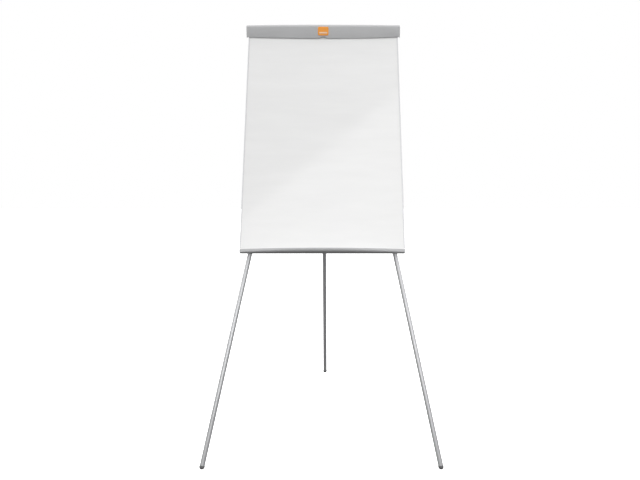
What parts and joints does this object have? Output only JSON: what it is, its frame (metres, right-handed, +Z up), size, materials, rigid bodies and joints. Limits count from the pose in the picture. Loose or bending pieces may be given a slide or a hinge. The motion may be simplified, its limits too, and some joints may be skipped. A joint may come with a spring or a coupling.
{
  "type": "flipchart easel",
  "caption": "Free-standing tripod flipchart easel: white dry-wipe board with a flip-up pad clamp, a pen tray and telescopic folding legs.",
  "frame": {"origin": "centre of the footprint's bounding box, on the floor", "axes": "+Z up; the board faces -Y and leans back towards +Y; +X is to the right of a viewer facing the board"},
  "size_m": [0.9136, 1.0026, 1.7845],
  "materials": {
    "white_enamel": "gloss lacquer",
    "core_board": "plain fibreboard",
    "back_paint": "matte lacquer",
    "header_grey": "fine grained",
    "aluminium_anodised": "satin anodised",
    "leg_paint": "satin silver-grey powder coat",
    "steel_zinc": "zinc plated",
    "bracket_paint": "matte powder coat",
    "dark_plastic": "fine grained",
    "nylon": "plain",
    "rubber_dark": "matt",
    "badge_orange": "domed"
  },
  "bodies": {
    "board": {"drywipe_face": "white_enamel", "board_core": "core_board", "back_sheet": "back_paint", "side_trim_left": "aluminium_anodised", "side_trim_right": "aluminium_anodised", "top_rail": "aluminium_anodised", "rail_bracket_left": "dark_plastic", "rail_bracket_right": "dark_plastic", "hinge_pin_left": "steel_zinc", "hinge_pin_right": "steel_zinc", "clamp_spring_left": "steel_zinc", "clamp_spring_right": "steel_zinc", "pen_tray": "header_grey", "tray_cap_left": "header_grey", "tray_cap_right": "header_grey", "hub_bracket": "bracket_paint", "pivot_bolts": "steel_zinc", "pivot_washers": "steel_zinc", "pivot_nuts": "steel_zinc", "rear_bolt": "steel_zinc", "rear_nut": "steel_zinc", "leg_guide_left": "bracket_paint", "leg_guide_right": "bracket_paint", "rail_screws": "steel_zinc", "tray_screws": "steel_zinc", "hub_screws": "steel_zinc", "guide_screws": "steel_zinc"},
    "clamp": {"clamp_bar": "header_grey", "clamp_cap_left": "header_grey", "clamp_cap_right": "header_grey", "grip_strip": "rubber_dark", "badge": "badge_orange"},
    "hook_left": {"pad_hook_left": "dark_plastic"},
    "hook_right": {"pad_hook_right": "dark_plastic"},
    "leg_left": {"pivot_plug_left": "dark_plastic", "outer_tube_left": "leg_paint", "leg_clamp_left": "dark_plastic"},
    "lower_leg_left": {"inner_tube_left": "leg_paint", "tube_glide_left": "nylon", "foot_left": "rubber_dark"},
    "knob_left": {"clamp_knob_left": "dark_plastic"},
    "leg_right": {"pivot_plug_right": "dark_plastic", "outer_tube_right": "leg_paint", "leg_clamp_right": "dark_plastic"},
    "lower_leg_right": {"inner_tube_right": "leg_paint", "tube_glide_right": "nylon", "foot_right": "rubber_dark"},
    "knob_right": {"clamp_knob_right": "dark_plastic"},
    "leg_rear": {"pivot_plug_rear": "dark_plastic", "outer_tube_rear": "leg_paint", "leg_clamp_rear": "dark_plastic"},
    "lower_leg_rear": {"inner_tube_rear": "leg_paint", "tube_glide_rear": "nylon", "foot_rear": "rubber_dark"},
    "knob_rear": {"clamp_knob_rear": "dark_plastic"}
  },
  "joints": [
    {"name": "clamp_flip", "type": "hinge", "parent": "board", "child": "clamp", "pos_m": [0, 0.0799, 1.77262], "axis": [-1, 0, 0], "range_deg": [0, 70], "stiffness_Nm_per_rad": 0.25, "springref_deg": -68.75},
    {"name": "hook_slide_left", "type": "slide", "parent": "board", "child": "hook_left", "axis": [1, 0, 0], "range_m": [-0.03, 0.16]},
    {"name": "hook_slide_right", "type": "slide", "parent": "board", "child": "hook_right", "axis": [1, 0, 0], "range_m": [-0.16, 0.03]},
    {"name": "leg_swing_left", "type": "hinge", "parent": "board", "child": "leg_left", "pos_m": [-0.1215, 0.08097, 1.69782], "axis": [0, -0.9472, 0.3206], "range_deg": [0, 10.32]},
    {"name": "leg_slide_left", "type": "slide", "parent": "leg_left", "child": "lower_leg_left", "axis": [0.1792, 0.3154, 0.9319], "range_m": [0, 0.75]},
    {"name": "knob_turn_left", "type": "hinge", "parent": "leg_left", "child": "knob_left", "pos_m": [-0.29499, -0.22435, 0.79577], "axis": [0, 0.9472, -0.3206], "range_deg": [0, 360]},
    {"name": "leg_swing_right", "type": "hinge", "parent": "board", "child": "leg_right", "pos_m": [0.1215, 0.08097, 1.69782], "axis": [0, 0.9472, -0.3206], "range_deg": [0, 10.32]},
    {"name": "leg_slide_right", "type": "slide", "parent": "leg_right", "child": "lower_leg_right", "axis": [-0.1792, 0.3154, 0.9319], "range_m": [0, 0.75]},
    {"name": "knob_turn_right", "type": "hinge", "parent": "leg_right", "child": "knob_right", "pos_m": [0.29499, -0.22435, 0.79577], "axis": [0, 0.9472, -0.3206], "range_deg": [0, 360]},
    {"name": "rear_leg_fold", "type": "hinge", "parent": "board", "child": "leg_rear", "pos_m": [0, 0.08097, 1.69782], "axis": [-1, 0, 0], "range_deg": [0, 32.34]},
    {"name": "leg_slide_rear", "type": "slide", "parent": "leg_rear", "child": "lower_leg_rear", "axis": [0, -0.2358, 0.9718], "range_m": [0, 0.66]},
    {"name": "knob_turn_rear", "type": "hinge", "parent": "leg_rear", "child": "knob_rear", "pos_m": [0, 0.30923, 0.75712], "axis": [0, 0.9718, 0.2358], "range_deg": [0, 360]}
  ]
}
